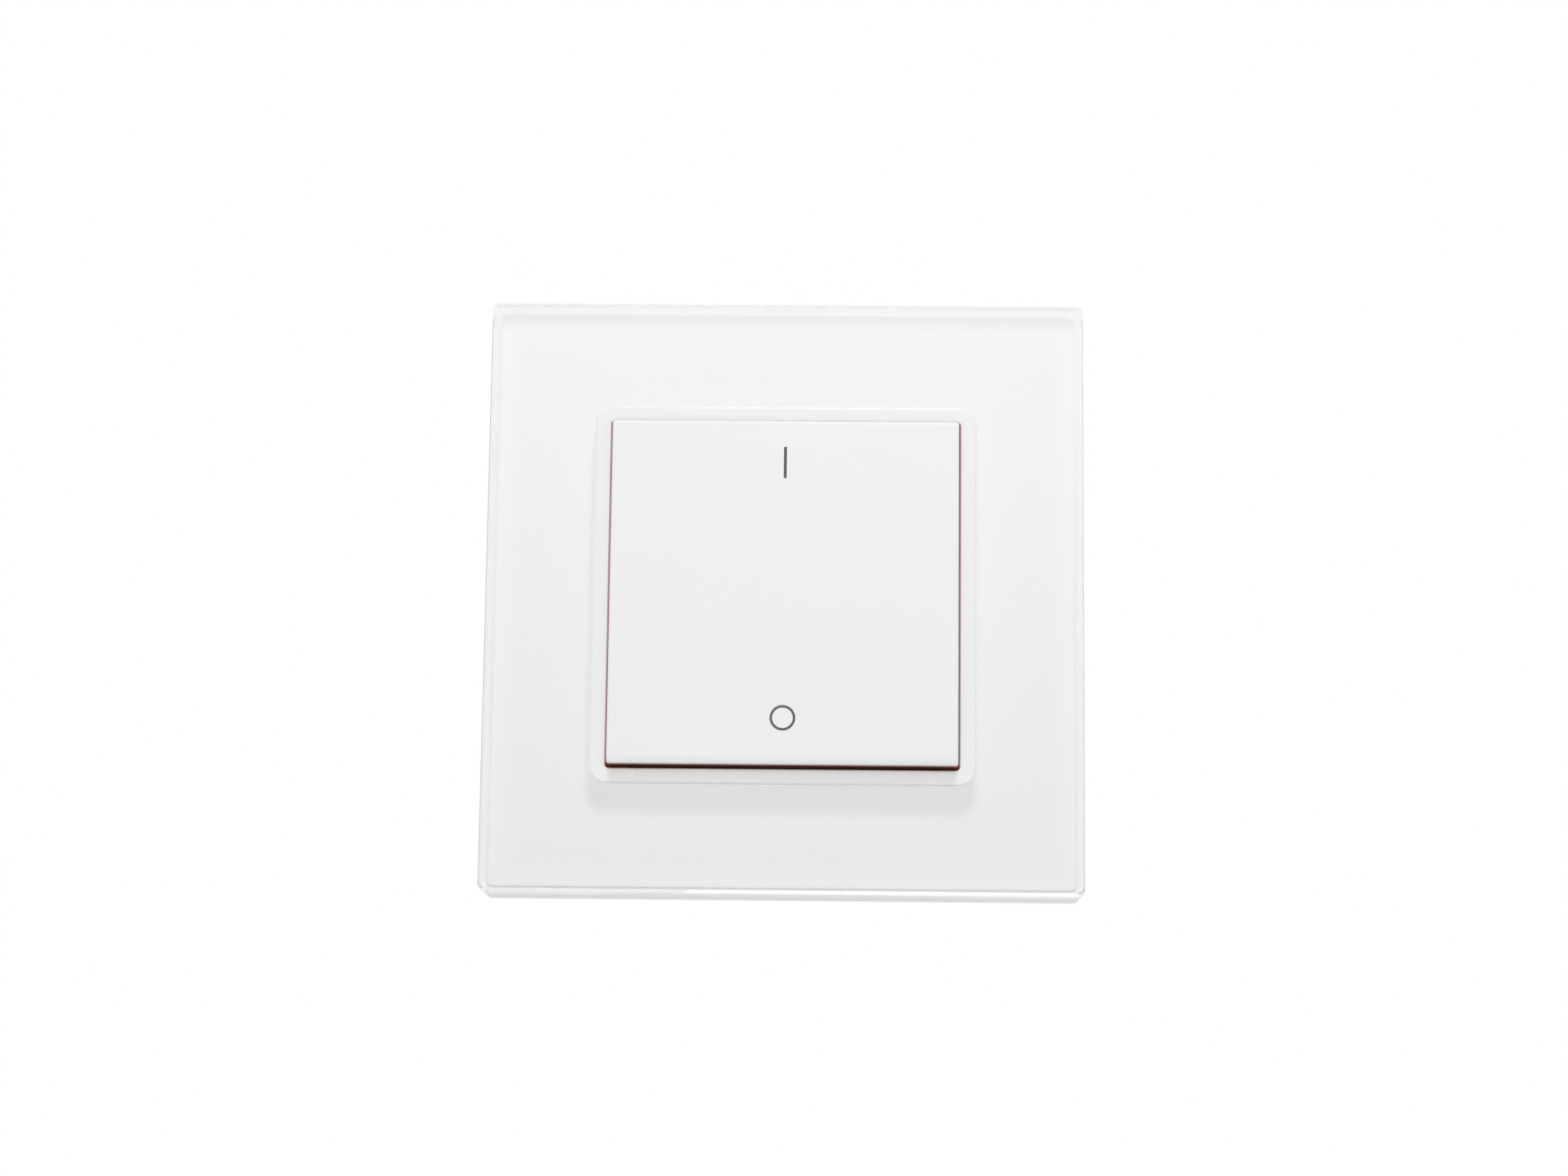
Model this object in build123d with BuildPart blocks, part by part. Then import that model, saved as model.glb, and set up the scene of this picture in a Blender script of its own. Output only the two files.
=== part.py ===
from build123d import *
import os
from math import radians, sin

# Wireless wall dimmer: a battery radio module with one tilting rocker, in a square glass frame.
# It hangs upright: +Z is up, the wall is the plane Y = 0 and the front faces -Y.
# All lengths are in millimetres, and a depth is measured from the wall towards the front.

# Glass frame
frame_overhang = 7.5
frame_corner_r = 1.0
glass_thickness = 4.0
glass_bevel = 0.5
glass_arris = 0.3
coat_thickness = 0.2
coat_margin = 1.1
coat_inner_margin = 0.4
tape_thickness = 0.4
tape_margin = 2.5
tape_inner_margin = 3.8
tape_corner_r = 1.5

# Surround ring and its snap legs
ring_wall = 2.1
ring_corner_r = 2.5
ring_opening_r = 0.6
ring_proud = 0.8
ring_edge_r = 0.35
ring_lip_r = 0.25
ring_glass_gap = 0.2
leg_width = 6.0
leg_thickness = 1.2
leg_inset = 9.25
leg_tip_gap = 0.4
hook_reach = 0.7
hook_height = 0.9
hook_lead = 0.6
hook_play = 0.2

# Rocker
rocker_side_gap = 0.25
rocker_end_gap = 0.4
rocker_proud = 1.4
rocker_edge_r = 1.1
rocker_corner_r = 0.35
rocker_wall = 1.6
rocker_inner_r = 0.6
skirt_wall = 1.3
skirt_clearance = 0.3
rocker_rib_width = 0.9
rocker_rib_height = 0.5
rocker_rib_offset = 9.0
tilt_angle = 3.0
pin_r = 1.0
pin_play = 0.05
pin_end_gap = 0.2
lug_r = 1.7
lug_gap = 0.2
lug_side_gap = 0.25
lug_mouth = 1.7
stud_r = 1.6
stud_gap = 0.05

# Carrier frame behind the glass
carrier_depth = 6.7
carrier_wall_gap = 0.5
carrier_setback = 0.1
carrier_side_wall = 1.8
carrier_face_wall = 1.6
carrier_module_gap = 2.0
carrier_opening_r = 1.5
carrier_collar = 1.2
carrier_collar_gap = 0.3
carrier_rib = 1.0
carrier_rib_offset = 9.0
carrier_rib_inset = 4.0
carrier_fence_gap = 0.3
carrier_fence_lift = 0.6
carrier_notch_play = 0.3

# Wall plate
plate_margin = 5.5
plate_corner_r = 4.0
plate_thickness = 2.0
plate_rim_width = 1.2
plate_rim_height = 1.5
plate_ledge = 4.0
plate_opening_r = 10.0
plate_rib_width = 1.0
plate_rib_height = 0.8
plate_rib_inset = 4.5
screw_offset = 30.0
screw_hole_r = 2.0
screw_slot_length = 7.0
screw_seat_r = 3.9
screw_seat_depth = 0.8
pad_width = 11.0
pad_height = 15.0
pad_thickness = 0.5
pad_corner_r = 1.0
pad_side_gap = 2.0
pad_end_gap = 4.0
post_width = 6.0
post_thickness = 1.2
post_gap = 0.15
post_offset = 10.0
post_height = 4.4
post_nose = 0.6
post_nose_height = 0.7
catch_wall = 1.2
catch_lip = 1.0
catch_play = 0.3

# Radio module's housing and cover
module_ring_gap = 1.4
module_skirt_gap = 1.4
module_corner_r = 2.0
module_wall = 1.4
module_face_wall = 1.0
module_shoulder_wall = 1.2
module_edge = 0.3
rocker_headroom = 1.8
cover_thickness = 1.2
cover_tongue = 1.0
cover_tongue_height = 1.0
cover_fit = 0.1
pocket_depth = 0.8
pocket_play = 0.2
boss_r = 2.2
boss_gap = 1.3

# Cover screws
screw_r = 1.0
screw_head_r = 1.8
screw_head_height = 0.9
screw_sink = 0.05
screw_end_gap = 0.4
screw_clearance = 0.1
screw_fit = 0.02
screw_cross = 2.0
screw_cross_width = 0.4
screw_cross_depth = 0.5

# Circuit board and its key switches
board_margin = 3.1
board_play = 0.3
board_corner_r = 1.0
board_thickness = 1.2
switch_room = 2.0
switch_size = 5.2
switch_height = 1.3
switch_corner = 0.5
switch_leg_length = 0.6
switch_leg_width = 0.8
switch_leg_height = 0.3
switch_leg_step = 3.0
switch_inset = 4.9
plunger_r = 1.2
plunger_play = 0.05
plunger_proud = 0.6
plunger_root = 0.5
plunger_travel = 0.25
plunger_rest_gap = 0.1
plunger_edge_r = 0.15

# Learn button and status light under the rocker
learn_inset = 6.6
button_r = 1.5
button_play = 0.1
button_flange_r = 2.3
button_flange_height = 0.45
button_proud = 0.6
button_edge_r = 0.3
light_inset = 6.6
led_width = 2.0
led_height = 1.25
led_thickness = 0.8
led_edge = 0.2
guide_r = 1.2
guide_fit = 0.02
guide_flange_r = 1.7
guide_flange_height = 0.5
guide_led_gap = 0.2
guide_proud = 0.2
guide_edge_r = 0.3

# Radio parts on the back of the board
chip_size = 5.0
chip_thickness = 0.85
chip_inset = 3.4
chip_z = 6.0
chip_edge = 0.12
chip_dot_r = 0.4
chip_dot_inset = 1.0
chip_dot_depth = 0.1
crystal_width = 2.5
crystal_height = 3.2
crystal_thickness = 0.7
crystal_z = 0.5
crystal_edge_r = 0.5
tank_width = 2.8
tank_height = 3.5
tank_thickness = 1.9
tank_z = -5.5
tank_edge = 0.3
antenna_r = 0.4
antenna_gap = 1.8
antenna_corner_r = 4.0
antenna_bend_r = 0.8
antenna_lift = 1.2
antenna_end_inset = 0.6

# Silicone mat with its two domes
mat_width = 14.0
mat_end_gap = 0.5
mat_thickness = 0.6
mat_corner_r = 2.0
dome_base_r = 3.9
dome_play = 0.3
dome_foot_width = 0.7
dome_hole_r = dome_base_r + dome_play
dome_hollow_r = dome_base_r - dome_foot_width
dome_top_r = 2.1
dome_core_r = 1.2
dome_core_gap = 0.05
dome_web = 0.35
dome_rim_height = 0.3
dome_rise = 0.8
dome_proud = 0.7
peg_r = 0.8
peg_fit = 0.02
peg_inset = 2.5
peg_offset = 9.0

# Coin cell, its bay in the cover and its two contacts
cell_r = 10.0
cell_thickness = 3.2
cell_edge_r = 0.5
cell_cap_inset = 1.1
cell_cap_step = 0.3
bay_play = 0.3
bay_collar = 1.1
bay_collar_gap = 0.4
bay_notch = 7.0
bay_finger_r = 4.0
bay_hook_length = 0.8
bay_hook_width = 4.0
bay_hook_height = 0.5
contact_strip = 0.2
contact_width = 5.0
contact_room = 0.6
contact_foot = 2.4
contact_rise = 2.6
contact_tongue = 4.5
contact_touch_gap = 0.02

# One overrun for all cuts
overrun = 1.0

# Depths of the faces, counted from the wall
carrier_face = carrier_wall_gap + carrier_depth
carrier_inside = carrier_face - carrier_face_wall
coat_depth = carrier_face + tape_thickness
glass_depth = coat_depth + coat_thickness
glass_face = glass_depth + glass_thickness
ring_face = glass_face + ring_proud
rocker_face = ring_face + rocker_proud
rocker_inside = rocker_face - rocker_wall
module_face = rocker_inside - rocker_headroom
module_inside = module_face - module_face_wall
board_front = module_inside - switch_room
board_back = board_front - board_thickness
shoulder = board_front
cover_front = plate_thickness + cover_thickness
cell_front = board_back - contact_room
cell_back = cell_front - cell_thickness
switch_face = board_front + switch_height
plunger_face = switch_face + plunger_proud
plunger_back = switch_face - plunger_root
rim_face = plate_thickness + plate_rim_height
post_face = plate_thickness + post_height
leg_tip = plate_thickness + leg_tip_gap
hook_face = leg_tip + hook_lead + hook_height
catch_face = hook_face + hook_play + catch_lip

# Widths, worked out from the coin cell outwards to the glass
bay_r = cell_r + bay_play
cell_cap_r = cell_r - cell_cap_inset
antenna_half = bay_r + bay_collar + antenna_gap + antenna_r
antenna_end_z = antenna_end_inset - antenna_half
boss_place = antenna_half + antenna_r + boss_gap + boss_r
board_size = 2 * (boss_place + board_margin)
neck_hollow = board_size + 2 * board_play
module_neck = neck_hollow + 2 * module_wall
skirt_inner = module_neck + 2 * module_skirt_gap
rocker_size = skirt_inner + 2 * skirt_wall
ring_opening_width = rocker_size + 2 * rocker_side_gap
ring_opening_height = rocker_size + 2 * rocker_end_gap
ring_size = ring_opening_height + 2 * ring_wall
glass_opening = ring_size + 2 * ring_glass_gap
glass_opening_r = ring_corner_r + ring_glass_gap
module_size = ring_opening_height - 2 * module_ring_gap
carrier_opening = module_size + 2 * carrier_module_gap
plate_opening = module_size - 2 * plate_ledge
plate_size = 2 * (screw_offset + plate_margin)
frame_size = plate_size + 2 * frame_overhang
carrier_size = frame_size - 2 * carrier_setback

# Places of the small parts
switch_z = neck_hollow / 2 - switch_inset
learn_x = board_size / 2 - learn_inset
light_x = light_inset - board_size / 2
chip_x = chip_inset - board_size / 2
leg_x = ring_opening_width / 2 - leg_inset
peg_x = mat_width / 2 - peg_inset
pad_x = (plate_size - pad_width) / 2 - pad_side_gap
pad_z = (plate_size - pad_height) / 2 - pad_end_gap

# Reach of the moving and snapping parts
rocker_swing = rocker_size / 2 * sin(radians(tilt_angle))
skirt_back = shoulder + rocker_swing + skirt_clearance
pivot_depth = shoulder + lug_gap + lug_r
lug_inner_x = module_neck / 2 + lug_side_gap
pin_end_x = skirt_inner / 2 - pin_end_gap
leg_inner_z = ring_opening_height / 2
leg_outer_z = leg_inner_z + leg_thickness
hook_z = leg_outer_z + hook_reach


def at_depth(depth):
    """The plane parallel to the wall at a depth, facing the front."""
    return Plane.XZ.offset(depth)


def square_ring(outer, inner, outer_r, inner_r):
    """A square frame with rounded corners, drawn in the open sketch."""
    RectangleRounded(outer, outer, outer_r)
    RectangleRounded(inner, inner, inner_r, mode=Mode.SUBTRACT)


def save(builder, name):
    """Labels a finished piece and writes it to its own file."""
    builder.part.label = name
    export_step(builder.part, f"parts/{name}.step")


os.makedirs("parts", exist_ok=True)

# Wall plate: flat plate with a rim, stiffening ribs and four screw places, snap posts that hold
# the module and catches for the surround ring's legs
with BuildPart() as wall_plate:
    with BuildSketch(at_depth(0)):
        square_ring(plate_size, plate_opening, plate_corner_r, plate_opening_r)
    extrude(amount=plate_thickness)
    with BuildSketch(at_depth(plate_thickness)):
        square_ring(
            plate_size, plate_size - 2 * plate_rim_width, plate_corner_r, plate_corner_r - plate_rim_width
        )
    extrude(amount=plate_rim_height)
    # four ribs from rim to rim, broken at the screw places
    with BuildSketch(at_depth(plate_thickness)):
        with GridLocations(plate_size - 2 * plate_rib_inset, 0, 2, 1):
            Rectangle(plate_rib_width, plate_size - plate_rim_width)
        with GridLocations(0, plate_size - 2 * plate_rib_inset, 1, 2):
            Rectangle(plate_size - plate_rim_width, plate_rib_width)
        Rectangle(2 * (screw_offset + screw_seat_r), 2 * screw_seat_r, mode=Mode.SUBTRACT)
        Rectangle(2 * screw_seat_r, 2 * (screw_offset + screw_seat_r), mode=Mode.SUBTRACT)
    extrude(amount=plate_rib_height)
    # screw places on the wall box's pitch: round holes at the sides, slots above and below
    with BuildSketch(at_depth(0)):
        with GridLocations(2 * screw_offset, 0, 2, 1):
            Circle(screw_hole_r)
        with GridLocations(0, 2 * screw_offset, 1, 2):
            SlotOverall(screw_slot_length, 2 * screw_hole_r, rotation=90)
    extrude(amount=plate_thickness + overrun, mode=Mode.SUBTRACT)
    with BuildSketch(at_depth(plate_thickness - screw_seat_depth)):
        with GridLocations(2 * screw_offset, 0, 2, 1):
            Circle(screw_seat_r)
        with GridLocations(0, 2 * screw_offset, 1, 2):
            SlotOverall(
                screw_slot_length + 2 * (screw_seat_r - screw_hole_r), 2 * screw_seat_r, rotation=90
            )
    extrude(amount=screw_seat_depth, mode=Mode.SUBTRACT)
    # recesses of the adhesive pads
    with BuildSketch(at_depth(0)):
        with GridLocations(2 * pad_x, 2 * pad_z, 2, 2):
            RectangleRounded(pad_width, pad_height, pad_corner_r)
    extrude(amount=pad_thickness, mode=Mode.SUBTRACT)
    # snap posts at both sides of the module
    post_x = module_size / 2 + post_gap
    for post_z in (-post_offset, post_offset):
        with BuildSketch(Plane.XY.offset(post_z - post_width / 2)):
            with BuildLine():
                Polyline(
                    (post_x, -plate_thickness),
                    (post_x, post_nose_height - post_face),
                    (post_x - post_nose, post_nose_height - post_face),
                    (post_x, -post_face),
                    (post_x + post_thickness, -post_face),
                    (post_x + post_thickness, -plate_thickness),
                    close=True,
                )
            make_face()
        post = extrude(amount=post_width)
        mirror(post, about=Plane.YZ)
    # catches above and below, which the hooks of the ring's legs snap under
    catch_inner_z = hook_z + catch_play
    catch_lip_z = leg_outer_z + hook_play
    for catch_x in (-leg_x, leg_x):
        with BuildSketch(Plane.YZ.offset(catch_x - leg_width / 2)):
            with BuildLine():
                Polyline(
                    (-plate_thickness, catch_inner_z),
                    (catch_lip - catch_face, catch_inner_z),
                    (catch_lip - catch_face, catch_lip_z),
                    (-catch_face, catch_lip_z),
                    (-catch_face, catch_inner_z + catch_wall),
                    (-plate_thickness, catch_inner_z + catch_wall),
                    close=True,
                )
            make_face()
        catch = extrude(amount=leg_width)
        mirror(catch, about=Plane.XY)
save(wall_plate, "wall_plate")

# Adhesive pads: four foam pads, flush with the back of the wall plate
with BuildPart() as adhesive_pads:
    with BuildSketch(at_depth(0)):
        with GridLocations(2 * pad_x, 2 * pad_z, 2, 2):
            RectangleRounded(pad_width, pad_height, pad_corner_r)
    extrude(amount=pad_thickness)
save(adhesive_pads, "adhesive_pads")

# Carrier frame: moulded tray behind the glass, open to the wall, with a collar round its opening,
# a fence that fits round the wall plate and ribs that seat on the wall plate's rim
with BuildPart() as carrier_frame:
    carrier_hollow = carrier_size - 2 * carrier_side_wall
    with BuildSketch(at_depth(carrier_wall_gap)):
        square_ring(carrier_size, carrier_hollow, frame_corner_r, carrier_setback)
    extrude(amount=carrier_depth)
    with BuildSketch(at_depth(carrier_inside)):
        Rectangle(carrier_hollow, carrier_hollow)
    extrude(amount=carrier_face_wall)
    fence_inner = plate_size + 2 * carrier_fence_gap
    fence_back = carrier_wall_gap + carrier_fence_lift
    with BuildSketch(at_depth(fence_back)):
        square_ring(
            fence_inner + 2 * carrier_rib,
            fence_inner,
            plate_corner_r + carrier_fence_gap + carrier_rib,
            plate_corner_r + carrier_fence_gap,
        )
    extrude(amount=carrier_inside - fence_back)
    collar_back = rim_face + carrier_collar_gap
    with BuildSketch(at_depth(collar_back)):
        RectangleRounded(
            carrier_opening + 2 * carrier_collar,
            carrier_opening + 2 * carrier_collar,
            carrier_opening_r + carrier_collar,
        )
    extrude(amount=carrier_inside - collar_back)
    with BuildSketch(at_depth(rim_face)):
        with GridLocations(2 * carrier_rib_offset, 0, 2, 1):
            Rectangle(carrier_rib, carrier_hollow)
        with GridLocations(plate_size - 2 * carrier_rib_inset, 0, 2, 1):
            Rectangle(carrier_rib, carrier_hollow)
        with GridLocations(0, 2 * carrier_rib_offset, 1, 2):
            Rectangle(carrier_hollow, carrier_rib)
        with GridLocations(0, plate_size - 2 * carrier_rib_inset, 1, 2):
            Rectangle(carrier_hollow, carrier_rib)
    extrude(amount=carrier_inside - rim_face)
    with BuildSketch(at_depth(carrier_wall_gap)):
        RectangleRounded(carrier_opening, carrier_opening, carrier_opening_r)
    extrude(amount=carrier_depth, mode=Mode.SUBTRACT)
    # notches that the ring's legs and the wall plate's catches stand in
    notch_width = leg_width + 2 * carrier_notch_play
    with BuildSketch(at_depth(carrier_inside)):
        with GridLocations(2 * leg_x, 0, 2, 1):
            Rectangle(notch_width, 2 * (leg_outer_z + carrier_notch_play))
    extrude(amount=carrier_face_wall, mode=Mode.SUBTRACT)
    with BuildSketch(at_depth(rim_face)):
        with GridLocations(2 * leg_x, 0, 2, 1):
            Rectangle(notch_width, 2 * (catch_inner_z + catch_wall + carrier_notch_play))
    extrude(amount=carrier_inside - rim_face, mode=Mode.SUBTRACT)
save(carrier_frame, "carrier_frame")

# Glass tape: a square of double-sided tape between the carrier and the coated glass
with BuildPart() as glass_tape:
    tape_size = frame_size - 2 * tape_margin
    with BuildSketch(at_depth(carrier_face)):
        square_ring(tape_size, glass_opening + 2 * tape_inner_margin, tape_corner_r, tape_corner_r)
    extrude(amount=tape_thickness)
save(glass_tape, "glass_tape")

# Back coat: the white enamel on the back of the glass
with BuildPart() as glass_back_coat:
    with BuildSketch(at_depth(coat_depth)):
        square_ring(
            frame_size - 2 * coat_margin,
            glass_opening + 2 * coat_inner_margin,
            coat_inner_margin,
            glass_opening_r + coat_inner_margin,
        )
    extrude(amount=coat_thickness)
save(glass_back_coat, "glass_back_coat")

# Glass plate: polished front bevel outside, fine arrises at the opening and at the back
with BuildPart() as glass_plate:
    with BuildSketch(at_depth(glass_depth)):
        square_ring(frame_size, glass_opening, frame_corner_r, glass_opening_r)
    extrude(amount=glass_thickness)
    chamfer(glass_plate.faces().sort_by(Axis.Y)[0].outer_wire().edges(), glass_bevel)
    chamfer(glass_plate.faces().sort_by(Axis.Y)[0].inner_wires()[0].edges(), glass_arris)
    chamfer(glass_plate.faces().sort_by(Axis.Y)[-1].outer_wire().edges(), glass_arris)
save(glass_plate, "glass_plate")

# Surround ring: seats on the carrier inside the glass, with four hooked legs at its back
with BuildPart() as surround_ring:
    with BuildSketch(at_depth(carrier_face)):
        RectangleRounded(ring_size, ring_size, ring_corner_r)
        RectangleRounded(ring_opening_width, ring_opening_height, ring_opening_r, mode=Mode.SUBTRACT)
    extrude(amount=ring_face - carrier_face)
    fillet(surround_ring.faces().sort_by(Axis.Y)[0].outer_wire().edges(), ring_edge_r)
    fillet(surround_ring.faces().sort_by(Axis.Y)[0].inner_wires()[0].edges(), ring_lip_r)
    for side_x in (-leg_x, leg_x):
        with BuildSketch(Plane.YZ.offset(side_x - leg_width / 2)):
            with BuildLine():
                Polyline(
                    (-carrier_face, leg_inner_z),
                    (-leg_tip, leg_inner_z),
                    (-leg_tip, leg_outer_z),
                    (-leg_tip - hook_lead, hook_z),
                    (-hook_face, hook_z),
                    (-hook_face, leg_outer_z),
                    (-carrier_face, leg_outer_z),
                    close=True,
                )
            make_face()
        leg = extrude(amount=leg_width)
        mirror(leg, about=Plane.XY)
save(surround_ring, "surround_ring")

# Module housing: stepped front shell with the rocker's pins at the sides of its neck, bosses for
# the board, holes for the domes, the learn button and the light guide, and snap pockets
with BuildPart() as module_housing:
    with BuildSketch(at_depth(cover_front)):
        RectangleRounded(module_size, module_size, module_corner_r)
    extrude(amount=shoulder - cover_front)
    with BuildSketch(at_depth(shoulder)):
        RectangleRounded(module_neck, module_neck, module_corner_r)
    extrude(amount=module_face - shoulder)
    chamfer(module_housing.faces().sort_by(Axis.Y)[0].edges(), module_edge)
    housing_hollow = module_size - 2 * module_wall
    hollow_r = module_corner_r - module_wall
    with BuildSketch(at_depth(cover_front)):
        RectangleRounded(housing_hollow, housing_hollow, hollow_r)
    extrude(amount=shoulder - module_shoulder_wall - cover_front, mode=Mode.SUBTRACT)
    with BuildSketch(at_depth(cover_front)):
        RectangleRounded(neck_hollow, neck_hollow, hollow_r)
    extrude(amount=module_inside - cover_front, mode=Mode.SUBTRACT)
    with BuildSketch(at_depth(board_front)):
        with GridLocations(2 * boss_place, 2 * boss_place, 2, 2):
            Circle(boss_r)
    extrude(amount=module_inside - board_front)
    screw_end = module_inside - screw_end_gap
    with BuildSketch(at_depth(board_front)):
        with GridLocations(2 * boss_place, 2 * boss_place, 2, 2):
            Circle(screw_r + screw_fit)
    extrude(amount=screw_end + screw_clearance - board_front, mode=Mode.SUBTRACT)
    # openings in the face, from above to below: domes, mat pegs, learn button and light guide
    with BuildSketch(at_depth(module_inside)):
        with GridLocations(0, 2 * switch_z, 1, 2):
            Circle(dome_hole_r)
        with GridLocations(2 * peg_x, 2 * peg_offset, 2, 2):
            Circle(peg_r + peg_fit)
        with Locations((learn_x, 0)):
            Circle(button_r + button_play)
        with Locations((light_x, 0)):
            Circle(guide_r + guide_fit)
    extrude(amount=module_face_wall, mode=Mode.SUBTRACT)
    with BuildSketch(at_depth(module_inside)):
        with Locations((learn_x, 0)):
            Circle(button_flange_r + button_play)
    button_flange_face = plunger_face + button_flange_height
    extrude(amount=button_flange_face + button_play - module_inside, mode=Mode.SUBTRACT)
    # pockets that the noses of the wall plate's posts catch in
    pocket_back = post_face - post_nose_height - pocket_play
    with BuildSketch(at_depth(pocket_back)):
        with GridLocations(module_size - pocket_depth, 2 * post_offset, 2, 2):
            Rectangle(pocket_depth, post_width + 2 * pocket_play)
    extrude(amount=post_nose_height + 2 * pocket_play, mode=Mode.SUBTRACT)
    with BuildSketch(Plane.YZ.offset(module_neck / 2)):
        with Locations((-pivot_depth, 0)):
            Circle(pin_r)
    pin = extrude(amount=pin_end_x - module_neck / 2)
    mirror(pin, about=Plane.YZ)
save(module_housing, "module_housing")

# Module cover: rear shell with a tongue inside the housing, stand-offs under the board and an
# open bay for the coin cell, with a collar, three hooks and a finger notch
with BuildPart() as module_cover:
    with BuildSketch(at_depth(plate_thickness)):
        RectangleRounded(module_size, module_size, module_corner_r)
    extrude(amount=cover_thickness)
    tongue_size = housing_hollow - 2 * cover_fit
    with BuildSketch(at_depth(cover_front)):
        square_ring(tongue_size, tongue_size - 2 * cover_tongue, hollow_r, hollow_r)
    extrude(amount=cover_tongue_height)
    with BuildSketch(at_depth(cover_front)):
        with GridLocations(2 * boss_place, 2 * boss_place, 2, 2):
            Circle(boss_r)
    extrude(amount=board_back - cover_front)
    collar_face = board_back - bay_collar_gap
    with BuildSketch(at_depth(cover_front)):
        Circle(bay_r + bay_collar)
        with Locations((bay_r + bay_collar, 0)):
            Rectangle(2 * (bay_collar + bay_play), bay_notch, mode=Mode.SUBTRACT)
    extrude(amount=collar_face - cover_front)
    with BuildSketch(at_depth(plate_thickness)):
        Circle(bay_r)
    extrude(amount=board_back - plate_thickness, mode=Mode.SUBTRACT)
    with BuildSketch(at_depth(plate_thickness)):
        with Locations((0, -bay_r)):
            Circle(bay_finger_r)
    extrude(amount=cover_thickness, mode=Mode.SUBTRACT)
    with BuildSketch(at_depth(plate_thickness)):
        with PolarLocations(bay_r, 3, start_angle=90):
            Rectangle(2 * bay_hook_length, bay_hook_width)
    extrude(amount=bay_hook_height)
    with Locations(Plane(origin=(0, -plate_thickness, 0), x_dir=(1, 0, 0), z_dir=(0, 1, 0))):
        with GridLocations(2 * boss_place, 2 * boss_place, 2, 2):
            CounterSinkHole(screw_r + screw_clearance, screw_head_r + screw_clearance)
save(module_cover, "module_cover")

# Cover screws: four countersunk screws through cover and board into the housing's bosses
with BuildPart() as cover_screws:
    head_back = plate_thickness + screw_sink
    head_front = head_back + screw_head_height
    with Locations(at_depth(head_back)):
        with GridLocations(2 * boss_place, 2 * boss_place, 2, 2):
            Cone(screw_head_r, screw_r, screw_head_height, align=(Align.CENTER, Align.CENTER, Align.MIN))
    with BuildSketch(at_depth(head_front)):
        with GridLocations(2 * boss_place, 2 * boss_place, 2, 2):
            Circle(screw_r)
    extrude(amount=screw_end - head_front)
    with BuildSketch(at_depth(head_back)):
        with GridLocations(2 * boss_place, 2 * boss_place, 2, 2):
            Rectangle(screw_cross, screw_cross_width)
            Rectangle(screw_cross_width, screw_cross)
    extrude(amount=screw_cross_depth, mode=Mode.SUBTRACT)
save(cover_screws, "cover_screws")

# Circuit board: clamped between the cover's stand-offs and the housing's bosses
with BuildPart() as circuit_board:
    with BuildSketch(at_depth(board_back)):
        RectangleRounded(board_size, board_size, board_corner_r)
        with GridLocations(2 * boss_place, 2 * boss_place, 2, 2):
            Circle(screw_r + screw_clearance, mode=Mode.SUBTRACT)
    extrude(amount=board_thickness)
save(circuit_board, "circuit_board")


def make_switch(place, body_name, plunger_name):
    """One key switch on the front of the board: a square body with four legs, and its plunger."""
    with BuildPart() as body:
        with BuildSketch(at_depth(board_front)):
            with Locations(place):
                Rectangle(switch_size, switch_size)
        extrude(amount=switch_height)
        chamfer(body.edges().filter_by(Axis.Y), switch_corner)
        with BuildSketch(at_depth(board_front)):
            with Locations(place):
                with GridLocations(switch_size + switch_leg_length, switch_leg_step, 2, 2):
                    Rectangle(switch_leg_length, switch_leg_width)
        extrude(amount=switch_leg_height)
        with BuildSketch(at_depth(plunger_back - plunger_travel - plunger_rest_gap)):
            with Locations(place):
                Circle(plunger_r + plunger_play)
        extrude(amount=plunger_root + plunger_travel + plunger_rest_gap, mode=Mode.SUBTRACT)
    save(body, body_name)
    with BuildPart() as plunger:
        with BuildSketch(at_depth(plunger_back)):
            with Locations(place):
                Circle(plunger_r)
        extrude(amount=plunger_root + plunger_proud)
        fillet(plunger.faces().sort_by(Axis.Y)[0].edges(), plunger_edge_r)
    save(plunger, plunger_name)


# Key switches: one under each half of the rocker and one under the learn button
make_switch((0, switch_z), "upper_switch_body", "upper_switch_plunger")
make_switch((0, -switch_z), "lower_switch_body", "lower_switch_plunger")
make_switch((learn_x, 0), "learn_switch_body", "learn_switch_plunger")

# Silicone mat: thin sheet pegged to the back of the housing's face, with a dome over each of the
# rocker's two switches and a core in each dome that reaches down to the plunger
with BuildPart() as silicone_mat:
    mat_back = module_inside - mat_thickness
    with BuildSketch(at_depth(mat_back)):
        RectangleRounded(mat_width, neck_hollow - 2 * mat_end_gap, mat_corner_r)
        with GridLocations(0, 2 * switch_z, 1, 2):
            Circle(dome_hollow_r, mode=Mode.SUBTRACT)
    extrude(amount=mat_thickness)
    with BuildSketch(at_depth(module_inside)):
        with GridLocations(2 * peg_x, 2 * peg_offset, 2, 2):
            Circle(peg_r)
    extrude(amount=module_face_wall)
    core_back = plunger_face + dome_core_gap
    web_low = module_inside + dome_rim_height
    web_high = web_low + dome_rise
    dome_face = module_face + dome_proud
    for dome_z in (-switch_z, switch_z):
        with BuildSketch(Plane.YZ):
            with BuildLine():
                Polyline(
                    (-core_back, dome_z),
                    (-core_back, dome_z + dome_core_r),
                    (dome_web - web_high, dome_z + dome_core_r),
                    (dome_web - web_low, dome_z + dome_hollow_r),
                    (-mat_back, dome_z + dome_hollow_r),
                    (-mat_back, dome_z + dome_base_r),
                    (-web_low, dome_z + dome_base_r),
                    (-web_high, dome_z + dome_top_r),
                    (-dome_face, dome_z + dome_top_r),
                    (-dome_face, dome_z),
                    close=True,
                )
            make_face()
        revolve(axis=Axis((0, 0, dome_z), (0, 1, 0)))
save(silicone_mat, "silicone_mat")

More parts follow.
